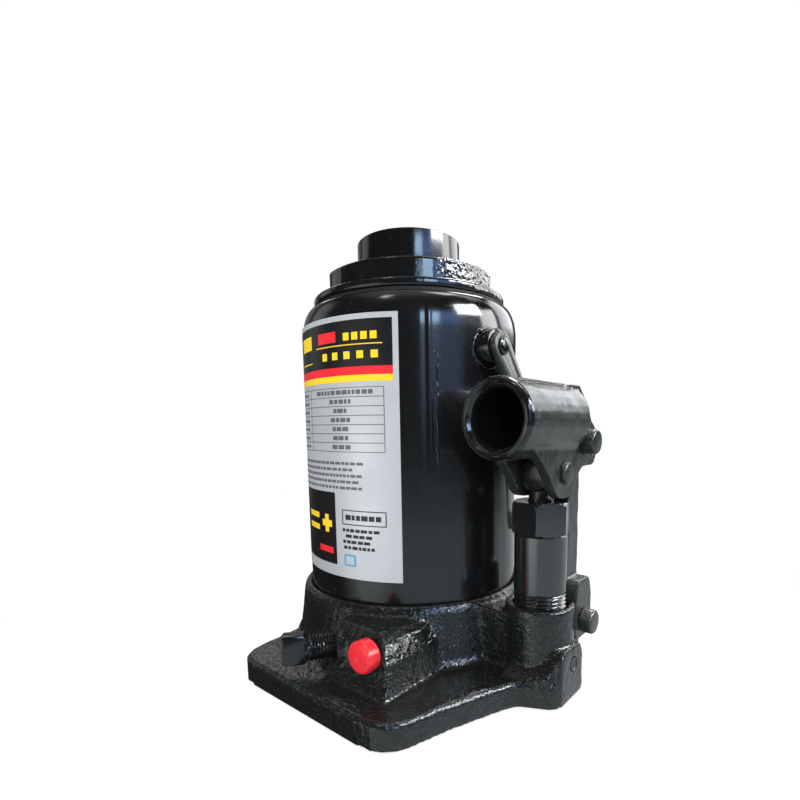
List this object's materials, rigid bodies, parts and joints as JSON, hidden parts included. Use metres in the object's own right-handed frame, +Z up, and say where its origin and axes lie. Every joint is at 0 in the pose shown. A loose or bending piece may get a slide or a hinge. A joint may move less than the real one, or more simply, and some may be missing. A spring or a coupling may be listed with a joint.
{
  "type": "hydraulic bottle jack",
  "caption": "Short hydraulic bottle jack with extension screw, hand pump and handle socket, release valve and folding carry handle.",
  "frame": {"origin": "ram axis at the underside of the base", "axes": "+Z up along the ram, +X towards the pump and handle socket, -Y towards the release valve"},
  "size_m": [0.1906, 0.1838, 0.235],
  "materials": {
    "cast_black": "thick gloss black paint over rough casting",
    "gloss_black": "gloss black paint",
    "satin_black": "satin black paint",
    "steel": "machined",
    "bright_steel": "ground",
    "oxide": "black oxide",
    "copper": "soft copper",
    "bronze": "turned bronze",
    "rubber": "moulded",
    "urethane": "moulded polyurethane",
    "red_plastic": "soft red plastic",
    "label_film": "printed silver film"
  },
  "bodies": {
    "jack_body": {"base_casting": "cast_black", "reservoir_tube": "gloss_black", "tube_foot_gasket": "rubber", "main_cylinder": "steel", "cylinder_gasket": "copper", "top_nut": "gloss_black", "top_nut_gasket": "rubber", "ram_guide_bush": "bronze", "ram_wiper_seal": "urethane", "pump_cylinder": "oxide", "pump_seat_washer": "copper", "plunger_gland_seal": "rubber", "suction_ball": "bright_steel", "discharge_ball": "bright_steel", "discharge_spring": "steel", "passage_plug": "steel", "lower_link_pin": "oxide", "lower_link_pin_cotter": "steel", "release_ball": "bright_steel", "overload_valve_screw": "oxide", "overload_ball": "bright_steel", "overload_spring": "steel", "carry_lug_right": "gloss_black", "carry_lug_left": "gloss_black", "carry_rivet_right": "oxide", "carry_rivet_left": "oxide", "rating_label": "label_film"},
    "ram_unit": {"ram": "bright_steel", "piston_cup_seal": "rubber", "piston_backup_ring": "urethane"},
    "extension": {"extension_screw": "gloss_black"},
    "plunger_unit": {"pump_plunger": "steel", "plunger_cup_seal": "rubber"},
    "socket_unit": {"handle_socket": "satin_black", "plunger_pin": "oxide", "upper_link_pin": "oxide", "plunger_pin_cotter": "steel", "upper_link_pin_cotter": "steel"},
    "link_unit": {"link_bar": "satin_black"},
    "release_valve": {"release_valve_screw": "oxide"},
    "port_cap": {"overload_port_cap": "red_plastic"},
    "bail": {"carry_handle": "gloss_black"},
    "filler_plug": {"oil_filler_plug": "rubber"}
  },
  "joints": [
    {"name": "ram_lift", "type": "slide", "parent": "jack_body", "child": "ram_unit", "axis": [0, 0, 1], "range_m": [0, 0.13]},
    {"name": "screw_extend", "type": "slide", "parent": "ram_unit", "child": "extension", "axis": [0, 0, 1], "range_m": [0, 0.055]},
    {"name": "plunger_stroke", "type": "slide", "parent": "jack_body", "child": "plunger_unit", "axis": [0, 0, 1], "range_m": [0, 0.0168]},
    {"name": "socket_swing", "type": "hinge", "parent": "plunger_unit", "child": "socket_unit", "pos_m": [0.09, -0.0072, 0.109], "axis": [-1, 0, 0], "range_deg": [0, 37]},
    {"name": "link_swing", "type": "hinge", "parent": "jack_body", "child": "link_unit", "pos_m": [0.09, 0.0155, 0.031], "axis": [-1, 0, 0], "range_deg": [0, 2.1]},
    {"name": "release_turn", "type": "hinge", "parent": "jack_body", "child": "release_valve", "pos_m": [0.015, -0.076, 0.025], "axis": [-0.6402, -0.7682, 0], "range_deg": [-360, 0]},
    {"name": "cap_pull", "type": "slide", "parent": "jack_body", "child": "port_cap", "axis": [0, -1, 0], "range_m": [0, 0.015]},
    {"name": "carry_swing", "type": "hinge", "parent": "jack_body", "child": "bail", "pos_m": [0, -0.01, 0.17], "axis": [1, 0, 0], "range_deg": [0, 112]},
    {"name": "filler_plug_pull", "type": "slide", "parent": "jack_body", "child": "filler_plug", "axis": [-0.5, 0.866, 0], "range_m": [0, 0.015]}
  ],
  "couplings": [
    {"joint": "plunger_stroke", "follows": "socket_swing", "m_per_rad": 0.0259},
    {"joint": "link_swing", "follows": "socket_swing", "ratio": 0.0558}
  ]
}
